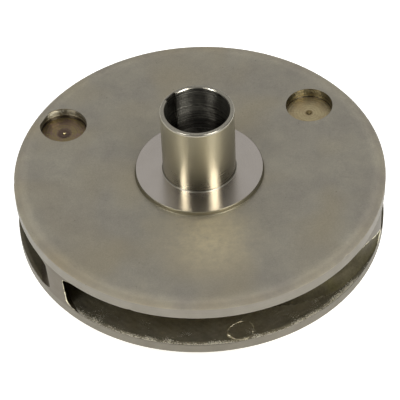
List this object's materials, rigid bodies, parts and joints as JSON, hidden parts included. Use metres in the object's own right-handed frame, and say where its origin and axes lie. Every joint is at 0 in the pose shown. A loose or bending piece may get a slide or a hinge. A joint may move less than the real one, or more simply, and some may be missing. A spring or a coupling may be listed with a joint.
{
  "type": "closed pump impeller",
  "caption": "Closed centrifugal pump impeller of cast steel with backward-curved vanes, a bored and keyed hub, a seal land and a suction neck.",
  "frame": {"origin": "centre of the suction neck's flat end face, which the part stands on", "axes": "+Z along the shaft axis towards the hub; +X to the right of the front view, so the camera side is -Y"},
  "size_m": [0.13, 0.13, 0.0622],
  "materials": {
    "blasted_casting": "matt grey-olive, blasted as cast",
    "raw_casting": "rough as cast, olive grey",
    "turned_steel": "fine turned and polished",
    "polished_steel": "bright turned"
  },
  "bodies": {
    "root": {"back_shroud": "blasted_casting", "front_shroud": "blasted_casting", "hub_nose": "blasted_casting", "vane_1": "raw_casting", "vane_2": "raw_casting", "vane_3": "raw_casting", "seal_land": "turned_steel", "eye_neck": "turned_steel", "hub_barrel": "polished_steel"}
  },
  "joints": []
}
